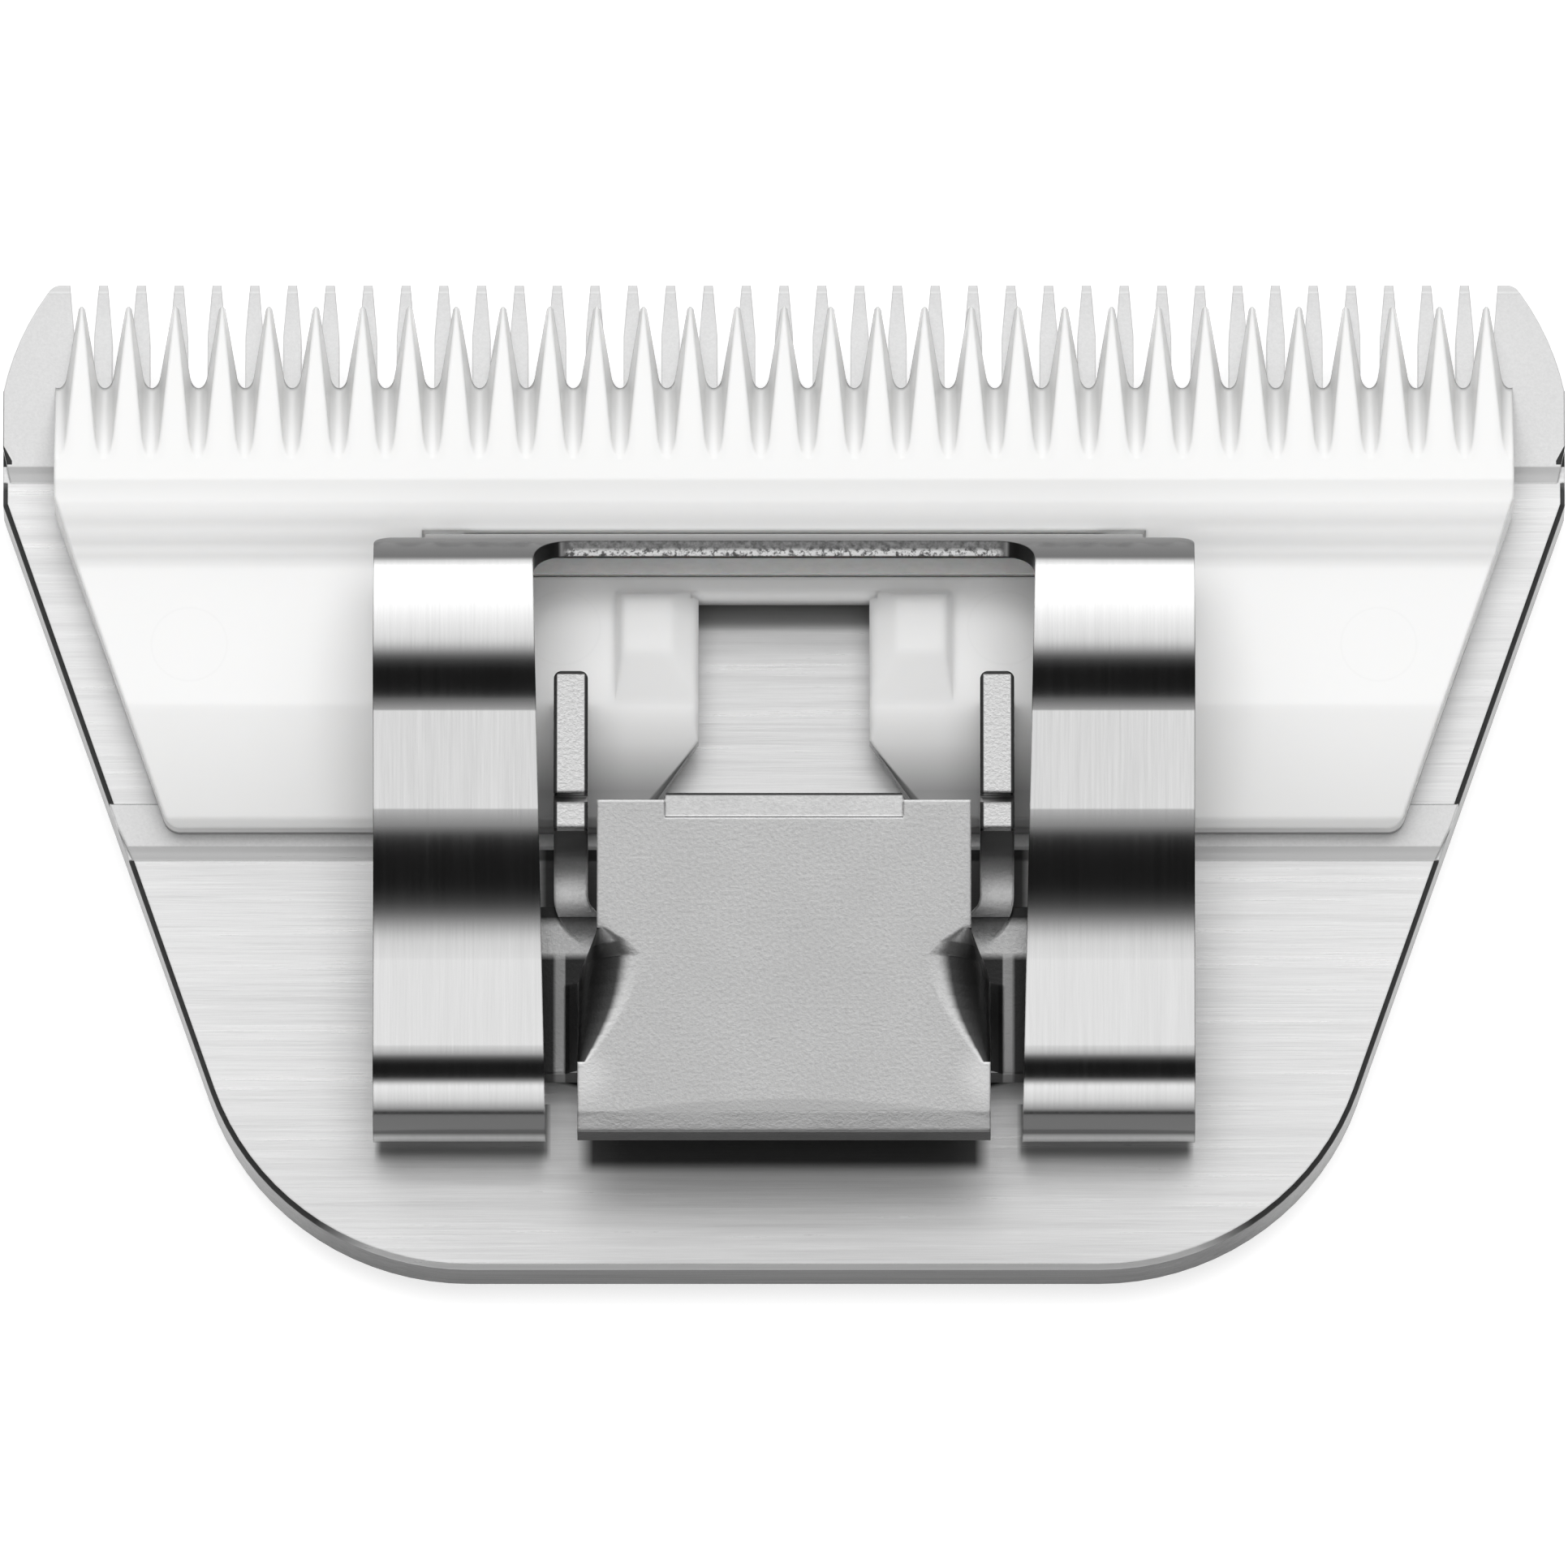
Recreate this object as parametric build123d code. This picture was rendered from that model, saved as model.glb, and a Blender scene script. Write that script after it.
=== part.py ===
from build123d import *
import os
from math import cos, radians, sin, tan

os.makedirs("parts", exist_ok=True)

# Frame: X across the blade, Y towards the teeth, Z up. The comb lies on Z = 0, centred on the origin.

# Comb plate
comb_width = 60.0
comb_length = 39.0
plate_height = 2.35
side_straight = 8.7  # parallel sides, measured back from the tooth tips
side_taper_deg = 19.07
rear_corner_radius = 10.5
plate_edge_chamfer = 0.18

# Comb rails, which carry the cutter
rail_rise = 0.35
front_rail_length = 7.3
front_rail_bevel = 0.55
rear_rail_width = 1.7
rear_rail_margin = 0.5  # bare rail behind the cutter
rear_rail_bevel = 0.45
rail_corner_length = 1.3
rail_corner_inset = 0.4

# Comb teeth
comb_pitch = 1.454
guard_width = 2.37  # wide tooth at each end of the row
comb_tip_width = 0.35
comb_slot_width = 0.75
comb_tip_taper = 2.1
comb_slot_depth = 5.9
comb_runout = 2.4  # further reach of each slot on the underside
comb_tip_bottom = 1.45
comb_tip_top_drop = 0.18
underside_bevel_length = 9.0
guard_slant_length = 4.3
guard_slant_inset = 1.95
guard_slant_bulge = 0.27
guard_tip_radius = 0.5

# Cutter
cutter_side_margin = 2.0  # comb beyond each end of the cutter
cutter_length = 20.9
cutter_tip_setback = 1.0
cutter_straight = 8.2
cutter_corner_radius = 0.7
cutter_thickness = 1.65
cutter_rear_thickness = 1.25
cutter_rear_slope = 4.7
cutter_rear_chamfer = 0.3
ridge_height = 2.6
ridge_front = 7.5  # behind the cutter's tips
ridge_width = 0.9
ridge_round_length = 1.4  # rounded back of the ridge
ridge_round_drop = 0.55
ridge_hollow_length = 0.95  # hollow foot behind it
cutter_tip_height = 0.4
relief_height = 0.75  # pocket under the cutter, between its front land and its rear foot
relief_wall = 1.5
front_land = 5.9
rear_foot = 1.6

# Cutter teeth
cutter_pitch = 1.8
cutter_valley_depth = 3.15
cutter_valley_radius = 0.34
cutter_groove_deg = 34.0
cutter_flank_deg = 16.5

# Drive slot and lugs of the cutter
drive_slot_width = 6.55
drive_slot_front = 12.0  # behind the cutter's tips
slot_mouth_length = 3.3
slot_mouth_flare = 2.3
slot_front_chamfer = 0.22
slot_chamfer_overlap = 0.3  # chamfer beyond each side of the slot
lug_width = 3.2
lug_length = 4.4
lug_lead = 0.3  # lug reaches this far ahead of the slot's front wall
lug_rise = 0.45
lug_inner_slope = 1.1
lug_outer_slope = 0.25
lug_front_slope = 0.25
lug_rear_slope = 1.85
stroke = 3.0

# Tension spring
spring_sheet = 0.62
arm_width = 6.05  # at the front
window_clearance = 0.3  # beside the socket's ears, at the rear
window_flare = 0.55  # each side of the window widens by this towards the front
window_front_deg = 57.0
window_corner_radius = 1.6
shoulder_width = 1.95  # each arm beyond the front tab
shoulder_deg = 62.0
shoulder_corner_radius = 0.8
foot_inset = 1.75  # each end of the tab is this much wider than the foot held in the guide
foot_height = 1.1
foot_straight = 0.75  # upright stretch below the arch
roll_setback = 0.55  # rear roll ahead of the socket plate's rear edge
roll_radius = 2.2  # lower half of the roll
roll_top_radius = 2.85
roll_flat = 0.05  # bends stay this much under the roll's radii
leaf_fall_deg = 4.5  # arm dips forwards from the roll
arch_rise_deg = 27.0
dip_radius = 10.6
arch_radius = 5.6

# Cutter guide
guide_end_wall = 0.3  # guide beyond each end of the spring's foot
guide_floor = 0.4
guide_rear_wall = 0.6
guide_front_wall = 0.25
guide_height = 0.8
guide_groove_depth = 0.5
guide_clearance = 0.08
tab_clearance = 0.03

# Hinge socket
socket_sheet = 1.3
flange_gap = 3.3  # cutter's rear edge to the flanges
flange_lead = 1.8  # flanges ahead of the walls
socket_length = 13.1
socket_front_width = 14.3
socket_rear_width = 15.76
socket_height = 4.35  # clear height above the comb plate
wall_start = 2.75  # plate behind the walls
wall_length = 5.3
roll_edge_width = 2.4  # strip of the plate taken by each rolled side
roll_edge_flat = 0.02  # left flat beside the bend where it is widest
roll_end_radius = 0.35
roll_peak = 0.8  # share of the wall's length, from its rear, at which the bend is widest
neck_length = 1.3  # over which the walls draw in towards the ears
flange_land = 2.5  # flange beyond the middle of each screw
flange_bend_radius = 0.5
front_lip_width = 9.1
front_lip_reach = 0.3
front_lip_bevel = 1.0
front_lip_step = 0.06
front_lip_drop = 0.1
rear_lip_bevel = 0.8
rear_lip_drop = 0.07
ear_gap = 0.35  # slit between the plate and each ear
ear_reach = 5.1  # ahead of the plate's front edge
ear_top_length = 6.2
ear_notch_width = 0.36
ear_notch_depth = 0.5
ear_notch_place = 5.0
ear_tip_radius = 0.3  # seen from above
ear_clearance = 0.4  # above the cutter
joggle_length = 1.6

# Clamp screws
screw_diameter = 2.9
screw_head_diameter = 5.2
screw_head_height = 1.25
screw_slot_width = 0.7
screw_slot_depth = 0.55
screw_recess = 0.1
screw_protrusion = 0.4
screw_clearance = 0.05
screw_inset = 2.9  # from the inner edge of the spring's base leaf
screw_setback = 3.2  # ahead of the flanges' rear ends

# Places worked out from the sizes above
y_front = comb_length / 2
y_rear = -comb_length / 2
rail_top = plate_height + rail_rise
comb_slot_count = round((comb_width - 2 * guard_width) / comb_pitch)
cutter_width = comb_width - 2 * cutter_side_margin
cutter_teeth = int(cutter_width / cutter_pitch)
cutter_tip_y = y_front - cutter_tip_setback
cutter_rear_y = cutter_tip_y - cutter_length
cutter_flat = rail_top + cutter_thickness
ridge_front_y = cutter_tip_y - ridge_front
ridge_rear_y = ridge_front_y - ridge_width
ridge_back_y = ridge_rear_y - ridge_round_length
guide_seat = cutter_flat - guide_groove_depth
foot_bottom = guide_seat + guide_floor
flange_front_y = cutter_rear_y - flange_gap
wall_front_y = flange_front_y - flange_lead
wall_rear_y = wall_front_y - wall_length
flange_rear_y = wall_rear_y + flange_bend_radius
socket_rear_y = wall_rear_y - wall_start
socket_front_y = socket_rear_y + socket_length
socket_bottom = plate_height + spring_sheet
flange_top = socket_bottom + socket_sheet
plate_bottom = plate_height + socket_height
plate_top = plate_bottom + socket_sheet
ear_outer = socket_front_width / 2 + ear_gap + socket_sheet
spring_front_y = ridge_back_y
spring_rear_y = socket_rear_y + roll_setback
arch_y = spring_front_y - arch_radius
arch_z = foot_bottom + foot_straight
window_rear_half = ear_outer + window_clearance
window_front_half = window_rear_half + window_flare
spring_width = 2 * (window_front_half + arm_width)
spring_tab_width = spring_width - 2 * shoulder_width
spring_foot_width = spring_tab_width - 2 * foot_inset
guide_length = spring_foot_width + 2 * guide_end_wall
screw_x = window_rear_half + screw_inset
screw_y = flange_rear_y + screw_setback
screw_places = [(-screw_x, screw_y), (screw_x, screw_y)]
margin = 1.0  # how far a cutting body runs past what it cuts
low_side = (Align.MIN, Align.CENTER, Align.CENTER)
standing = (Align.CENTER, Align.CENTER, Align.MIN)


def side_prism(points, width):
    """Body across the blade, centred on X = 0, with a profile in Y and Z."""
    return extrude(Plane.YZ * Polygon(*points, align=None), amount=width / 2, both=True)


def plan_prism(face, bottom, top):
    """Upright body with an outline in X and Y."""
    return extrude(Plane.XY.offset(bottom) * face, amount=top - bottom, dir=(0, 0, 1))


def at_both_sides(body):
    return body + mirror(body, Plane.YZ)


def edges_near(body, half_width, place, reach):
    """Edges of a body whose middles lie near one place in Y and Z, on both sides of the blade."""
    spots = [Vector(half_width, *place), Vector(-half_width, *place)]
    return [edge for edge in body.edges() if min((edge.center() - spot).length for spot in spots) < reach]


def strip_face(path, thickness):
    """Edge view of a bent strip, with square ends, from its middle line."""
    halves = [make_face(offset(path, thickness / 2, side=side)) for side in (Side.LEFT, Side.RIGHT)]
    return halves[0] + halves[1]


def comb_outline():
    half = comb_width / 2
    taper_y = y_front - side_straight
    rear_half = half - (taper_y - y_rear) * tan(radians(side_taper_deg))
    guard_y = y_front - guard_slant_length
    guard_tip = (half - guard_slant_inset, y_front)
    sides = Polyline((0, y_front), (0, y_rear), (rear_half, y_rear), (half, taper_y), (half, guard_y))
    slant = SagittaArc((half, guard_y), guard_tip, -guard_slant_bulge)
    front = Line(guard_tip, (0, y_front))
    half_face = make_face([*sides.edges(), slant, front])
    face = half_face + mirror(half_face, Plane.YZ)
    rear_corners = face.vertices().group_by(Axis.Y)[0]
    face = fillet(rear_corners, rear_corner_radius)
    tips = face.vertices().group_by(Axis.Y)[-1]
    return fillet(tips, guard_tip_radius)


def comb_slots():
    half_slot = comb_slot_width / 2
    half_mouth = (comb_pitch - comb_tip_width) / 2
    root_y = y_front - comb_slot_depth
    end_y = root_y + half_slot
    taper_y = y_front - comb_tip_taper
    spread = (half_mouth - half_slot) / comb_tip_taper
    past = half_mouth + spread * margin
    sides = Polyline(
        (-half_slot, end_y),
        (-half_slot, taper_y),
        (-past, y_front + margin),
        (past, y_front + margin),
        (half_slot, taper_y),
        (half_slot, end_y),
    )
    root = ThreePointArc((half_slot, end_y), (0, root_y), (-half_slot, end_y))
    through = plan_prism(make_face([*sides.edges(), root]), -margin, rail_top + margin)
    runout = side_prism(
        [(end_y, rail_top), (end_y - comb_runout, -margin), (y_front, -margin), (y_front, rail_top)],
        comb_slot_width,
    )
    slot = through + runout
    places = [(i - (comb_slot_count - 1) / 2) * comb_pitch for i in range(comb_slot_count)]
    return [Pos(x, 0, 0) * slot for x in places]


def comb_rails(outline):
    bevel_y = y_front - front_rail_length
    rail_rear_y = cutter_rear_y - rear_rail_margin
    front_rail = [
        (y_front, 0),
        (y_front, rail_top - comb_tip_top_drop),
        (y_front - 2 * comb_tip_top_drop, rail_top),
        (bevel_y, rail_top),
        (bevel_y - front_rail_bevel, plate_height),
        (bevel_y - front_rail_bevel, 0),
    ]
    rear_rail = [
        (rail_rear_y + rear_rail_width, 0),
        (rail_rear_y + rear_rail_width, rail_top),
        (rail_rear_y, rail_top),
        (rail_rear_y - rear_rail_bevel, plate_height),
        (rail_rear_y - rear_rail_bevel, 0),
    ]
    stock = plan_prism(outline, 0, rail_top)
    rails = stock & (side_prism(front_rail, comb_width) + side_prism(rear_rail, comb_width))
    corners = []
    for rear_y in (bevel_y - front_rail_bevel, rail_rear_y - rear_rail_bevel):
        narrowing = max(0, y_front - side_straight - rear_y) * tan(radians(side_taper_deg))
        edge_x = comb_width / 2 - narrowing
        slant = tan(radians(side_taper_deg)) if narrowing else 0
        cut = Polygon(
            (edge_x - rail_corner_inset, rear_y - margin / 2),
            (edge_x + margin + slant * rail_corner_length, rear_y - margin / 2),
            (edge_x + margin + slant * rail_corner_length, rear_y + rail_corner_length),
            (edge_x + slant * rail_corner_length, rear_y + rail_corner_length),
            align=None,
        )
        corners.append(plan_prism(cut, plate_height, rail_top + margin))
    return rails - [at_both_sides(corner) for corner in corners]


def make_comb():
    outline = comb_outline()
    plate = plan_prism(outline, 0, plate_height)
    top_edges = plate.faces().sort_by(Axis.Z)[-1].edges()
    plate = chamfer(top_edges, plate_edge_chamfer)
    comb = plate + comb_rails(outline)
    bevel_y = y_front - underside_bevel_length
    comb -= side_prism(
        [(bevel_y, 0), (y_front, comb_tip_bottom), (y_front + margin, comb_tip_bottom), (y_front, -margin)],
        comb_width + margin,
    )
    comb -= comb_slots()
    head = screw_head_diameter / 2 + screw_clearance
    shank = screw_diameter / 2 + screw_clearance
    sink = Pos(0, 0, screw_recess) * Cone(head, shank, screw_head_height, align=standing)
    sink += Cylinder(head, 2 * screw_recess)
    sink += Cylinder(shank, 2 * (plate_height + margin))
    return comb - [Pos(x, y, 0) * sink for x, y in screw_places]


def cutter_outline():
    half = cutter_width / 2
    taper_y = cutter_tip_y - cutter_straight
    rear_half = half - (taper_y - cutter_rear_y) * tan(radians(side_taper_deg))
    face = Polygon(
        (-rear_half, cutter_rear_y),
        (rear_half, cutter_rear_y),
        (half, taper_y),
        (half, cutter_tip_y),
        (-half, cutter_tip_y),
        (-half, taper_y),
        align=None,
    )
    return fillet(face.vertices().group_by(Axis.Y)[0], cutter_corner_radius)


def cutter_section():
    """Side profile: low tips, front bevel, ridge with a rounded back, hollow foot, flat and rear slope."""
    rear_top = rail_top + cutter_rear_thickness
    ridge_top = rail_top + ridge_height
    ridge_back = (ridge_back_y, ridge_top - ridge_round_drop)
    ridge_foot = (ridge_back_y - ridge_hollow_length, cutter_flat)
    sides = Polyline(
        ridge_foot,
        (cutter_rear_y + cutter_rear_slope, cutter_flat),
        (cutter_rear_y + cutter_rear_chamfer, rear_top),
        (cutter_rear_y, rear_top - cutter_rear_chamfer),
        (cutter_rear_y, rail_top),
        (cutter_tip_y, rail_top),
        (cutter_tip_y, rail_top + cutter_tip_height),
        (ridge_front_y, ridge_top),
        (ridge_rear_y, ridge_top),
    )
    back = TangentArc((ridge_rear_y, ridge_top), ridge_back, tangent=(-1, 0))
    hollow = TangentArc(ridge_foot, ridge_back, tangent=(1, 0))
    return Plane.YZ * make_face([*sides.edges(), back, hollow])


def cutter_relief():
    """Pocket under the cutter, so that only its front land and its rear foot touch the rails."""
    front_y = cutter_tip_y - front_land
    rear_y = cutter_rear_y + rear_foot
    roof = rail_top + relief_height
    inside = plan_prism(offset(cutter_outline(), -relief_wall), 0, roof)
    return inside & side_prism([(rear_y, 0), (front_y, 0), (front_y, roof), (rear_y, roof)], cutter_width)


def cutter_grooves():
    """V grooves with round floors, which rise from the underside at each valley to the front bevel."""
    flank = radians(cutter_flank_deg)
    rise = radians(cutter_groove_deg)
    reach = cutter_length / 2
    depth = ridge_height + cutter_valley_depth
    x = cutter_valley_radius * cos(flank)
    y = cutter_valley_radius * (1 - sin(flank))
    top = x + (depth - y) * tan(flank)
    sides = Polyline((-x, y), (-top, depth), (top, depth), (x, y))
    section = make_face([*sides.edges(), ThreePointArc((x, y), (0, 0), (-x, y))])
    valley_y = cutter_tip_y - cutter_valley_depth
    along = Plane(origin=(0, valley_y, rail_top), x_dir=(1, 0, 0), z_dir=(0, -cos(rise), sin(rise)))
    groove = extrude(along * section, amount=reach, both=True)
    places = [(i - cutter_teeth / 2) * cutter_pitch for i in range(cutter_teeth + 1)]
    return [Pos(x_place, 0, 0) * groove for x_place in places]


def drive_slot():
    half = drive_slot_width / 2
    front_y = cutter_tip_y - drive_slot_front
    mouth_y = cutter_rear_y + slot_mouth_length
    flare = slot_mouth_flare / slot_mouth_length
    past = half + flare * (slot_mouth_length + margin)
    face = Polygon(
        (-half, front_y),
        (half, front_y),
        (half, mouth_y),
        (past, cutter_rear_y - margin),
        (-past, cutter_rear_y - margin),
        (-half, mouth_y),
        align=None,
    )
    return plan_prism(face, 0, cutter_flat + lug_rise + margin)


def slot_chamfer():
    """Bevel along the top edge of the slot's front wall, which also trims the lugs' inner corners."""
    front_y = cutter_tip_y - drive_slot_front
    top = cutter_flat + lug_rise
    points = [
        (front_y, cutter_flat - slot_front_chamfer),
        (front_y + slot_front_chamfer + lug_rise, top),
        (front_y, top),
    ]
    return side_prism(points, drive_slot_width + 2 * slot_chamfer_overlap)


def drive_lug():
    """Raised pad beside the drive slot, which slopes gently towards the slot and the rear."""
    inner_x = drive_slot_width / 2
    front_y = cutter_tip_y - drive_slot_front + lug_lead
    rear_y = front_y - lug_length
    outer_x = inner_x + lug_width
    foot = Polygon((inner_x, rear_y), (outer_x, rear_y), (outer_x, front_y), (inner_x, front_y), align=None)
    top_inner = inner_x + lug_inner_slope
    top_outer = outer_x - lug_outer_slope
    top_rear = rear_y + lug_rear_slope
    top_front = front_y - lug_front_slope
    pad = Polygon(
        (top_inner, top_rear),
        (top_outer, top_rear),
        (top_outer, top_front),
        (top_inner, top_front),
        align=None,
    )
    heights = (cutter_flat - lug_rise, cutter_flat, cutter_flat + lug_rise)
    sections = [Pos(0, 0, z) * face for z, face in zip(heights, (foot, foot, pad))]
    return loft(sections, ruled=True)


def guide_groove():
    """Groove for the guide, longer than it by the whole stroke."""
    front_y = spring_front_y + tab_clearance + guide_front_wall + guide_clearance
    rear_y = spring_front_y - spring_sheet - tab_clearance - guide_rear_wall - guide_clearance
    length = guide_length + stroke + 2 * guide_clearance
    top = rail_top + ridge_height + margin
    return side_prism([(rear_y, guide_seat), (front_y, guide_seat), (front_y, top), (rear_y, top)], length)


def make_cutter():
    blank = extrude(cutter_section(), amount=cutter_width / 2, both=True)
    cutter = blank & plan_prism(cutter_outline(), 0, rail_top + ridge_height + margin)
    cutter += at_both_sides(drive_lug())
    cutter -= [cutter_relief(), slot_chamfer(), drive_slot(), guide_groove()]
    return cutter - cutter_grooves()


def arch_ray(angle_deg, reach):
    """Point in Y and Z, at an angle forwards from straight above the arch's centre."""
    return (arch_y + reach * sin(radians(angle_deg)), arch_z + reach * cos(radians(angle_deg)))


def spring_path():
    """Middle line of the spring's sheet: base leaf, rear roll, rising arm, arch and front tab."""
    half = spring_sheet / 2
    roll_mid = roll_radius - half
    top_mid = roll_top_radius - half
    rear_y = spring_rear_y + half
    base_z = plate_height + half
    leaf_slope = -tan(radians(leaf_fall_deg))
    arch_slope = tan(radians(arch_rise_deg))
    leaf_z = base_z + roll_mid + top_mid * tan(radians((90 + leaf_fall_deg) / 2))
    front_y = spring_front_y - half
    touch_y, touch_z = arch_ray(-arch_rise_deg, arch_radius - half)
    dip_y = (touch_z - arch_slope * touch_y - leaf_z + leaf_slope * rear_y) / (leaf_slope - arch_slope)
    corners = [
        (flange_front_y, base_z),
        (rear_y, base_z),
        (rear_y, leaf_z),
        (dip_y, leaf_z + leaf_slope * (dip_y - rear_y)),
        (front_y, touch_z + arch_slope * (front_y - touch_y)),
        (front_y, foot_bottom),
    ]
    radii = [roll_mid - roll_flat, top_mid - roll_flat, dip_radius + half, arch_radius - half]
    return FilletPolyline(*corners, radius=radii)


def spring_window():
    """Opening between the arms, cut square to the sheet at its front edge."""
    top = arch_z + arch_radius + margin
    reach = 2 * arch_radius
    rear_y = spring_rear_y - margin
    ray = arch_ray(window_front_deg, reach)
    points = [(arch_y, arch_z), ray, (ray[0], top), (rear_y, top), (rear_y, 0), (arch_y, 0)]
    spread = window_flare / (spring_front_y - spring_rear_y)
    rear_half = window_rear_half - spread * margin
    far_half = window_front_half + spread * reach
    far_y = spring_front_y + reach
    plan = Polygon(
        (-rear_half, rear_y), (rear_half, rear_y), (far_half, far_y), (-far_half, far_y), align=None
    )
    window = side_prism(points, spring_width) & plan_prism(plan, 0, top)
    middle = arch_ray(window_front_deg, reach / 2)
    return fillet(edges_near(window, window_front_half, middle, margin), window_corner_radius)


def spring_shoulder():
    """What is cut away beside the front tab, below the arms' shoulders."""
    reach = 2 * arch_radius
    ray = arch_ray(shoulder_deg, reach)
    below = side_prism([(arch_y, arch_z), ray, (ray[0], 0), (arch_y, 0)], 2 * spring_width)
    tab = Box(spring_width, 4 * reach, 4 * reach, align=low_side)
    foot = Box(spring_width, 4 * spring_sheet, 2 * (foot_bottom + foot_height), align=low_side)
    beside_tab = below & Pos(spring_tab_width / 2, arch_y, 0) * tab
    beside_foot = Pos(spring_foot_width / 2, spring_front_y, 0) * foot
    return at_both_sides(beside_tab + beside_foot)


def make_spring():
    sheet = Plane.YZ * strip_face(spring_path(), spring_sheet)
    spring = extrude(sheet, amount=spring_width / 2, both=True)
    spring -= [spring_window(), spring_shoulder()]
    tip = arch_ray(shoulder_deg, arch_radius - spring_sheet / 2)
    spring = fillet(edges_near(spring, spring_width / 2, tip, spring_sheet / 4), shoulder_corner_radius)
    hole = Cylinder(screw_diameter / 2 + screw_clearance, 3 * spring_sheet)
    return spring - [Pos(x, y, plate_height + spring_sheet / 2) * hole for x, y in screw_places]


def make_guide():
    """Nylon rail with a slot for the spring's lower edge."""
    slot_front = spring_front_y + tab_clearance
    slot_rear = spring_front_y - spring_sheet - tab_clearance
    top = guide_seat + guide_height
    points = [
        (slot_rear - guide_rear_wall, guide_seat),
        (slot_front + guide_front_wall, guide_seat),
        (slot_front + guide_front_wall, top),
        (slot_front, top),
        (slot_front, foot_bottom),
        (slot_rear, foot_bottom),
        (slot_rear, top),
        (slot_rear - guide_rear_wall, top),
    ]
    return side_prism(points, guide_length)


def socket_plate():
    rear_half = socket_rear_width / 2
    front_half = socket_front_width / 2
    inner_half = rear_half - roll_edge_width
    outline = Polygon(
        (0, socket_rear_y),
        (rear_half, socket_rear_y),
        (rear_half, wall_rear_y),
        (inner_half, wall_rear_y),
        (inner_half, wall_front_y),
        (front_half, wall_front_y),
        (front_half, socket_front_y),
        (front_lip_width / 2, socket_front_y),
        (front_lip_width / 2, socket_front_y + front_lip_reach),
        (0, socket_front_y + front_lip_reach),
        align=None,
    )
    plate = at_both_sides(plan_prism(outline, plate_bottom, plate_top))
    lip_y = socket_front_y + front_lip_reach
    lip_bevel = side_prism(
        [
            (lip_y - front_lip_bevel, plate_top),
            (lip_y - front_lip_bevel + front_lip_step, plate_top - front_lip_step),
            (lip_y, plate_top - front_lip_drop),
            (lip_y, plate_top),
        ],
        front_lip_width,
    )
    rear_bevel = side_prism(
        [
            (socket_rear_y, plate_top),
            (socket_rear_y, plate_top - rear_lip_drop),
            (socket_rear_y + rear_lip_bevel, plate_top),
        ],
        socket_rear_width,
    )
    return plate - [lip_bevel, rear_bevel]


def wall_section(y, opening):
    """Section of one rolled side: part of the plate, the bend and the upright wall."""
    front_half = socket_front_width / 2
    spread = min(1, (wall_front_y - y) / neck_length)
    outer = front_half + spread * (socket_rear_width / 2 - front_half)
    inner = outer - socket_sheet
    start = socket_rear_width / 2 - roll_edge_width
    base = socket_bottom + socket_sheet / 2
    radius = roll_end_radius + opening * (outer - start - roll_edge_flat - roll_end_radius)
    diagonal = radius * (1 - cos(radians(45)))
    path = Polyline(
        (outer, plate_top - radius),
        (outer, base),
        (inner, base),
        (inner, plate_bottom),
        (start, plate_bottom),
        (start, plate_top),
        (outer - radius, plate_top),
    )
    bend = ThreePointArc(
        (outer - radius, plate_top),
        (outer - diagonal, plate_top - diagonal),
        (outer, plate_top - radius),
    )
    stand = Plane(origin=(0, y, 0), x_dir=(1, 0, 0), z_dir=(0, -1, 0))
    return stand * make_face([*path.edges(), bend])


def bend_swell(share):
    """How far the bend has opened: 0 at the wall's two ends, 1 where it is widest."""
    nearness = share / roll_peak if share < roll_peak else (1 - share) / (1 - roll_peak)
    return sin(radians(90 * nearness))


def socket_wall():
    """Side of the socket: its bend tightens towards both ends, and its wall draws in at the front."""
    steps = 10
    shares = [i / steps for i in range(steps + 1)]
    sections = [wall_section(wall_rear_y + share * wall_length, bend_swell(share)) for share in shares]
    return loft(sections, ruled=True)


def socket_flange():
    """Flange beside one wall: its upper bend ends where the wall draws in."""
    inner = socket_rear_width / 2 - socket_sheet
    outer = screw_x + flange_land
    points = [
        (inner, flange_top + flange_bend_radius),
        (inner, socket_bottom),
        (outer, socket_bottom),
        (outer, flange_top),
        (socket_rear_width / 2 + flange_bend_radius, flange_top),
        (socket_rear_width / 2, flange_top + flange_bend_radius),
    ]
    stand = Plane(origin=(0, flange_front_y, 0), x_dir=(1, 0, 0), z_dir=(0, -1, 0))
    section = Polygon(*points, align=None)
    bend = section.vertices().sort_by_distance((inner, socket_bottom))[0]
    section = fillet(bend, socket_sheet)
    flange = extrude(stand * section, amount=flange_front_y - flange_rear_y)
    hole = Cylinder(screw_diameter / 2 + screw_clearance, 2 * plate_top)
    bend_width = socket_sheet + 2 * flange_bend_radius
    neck_y = wall_front_y - neck_length
    bare = Polygon(
        (inner, neck_y),
        (inner + bend_width, neck_y),
        (inner + bend_width, flange_front_y),
        (inner, flange_front_y),
        align=None,
    )
    return flange - [Pos(screw_x, screw_y, 0) * hole, plan_prism(bare, flange_top, plate_top)]


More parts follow.
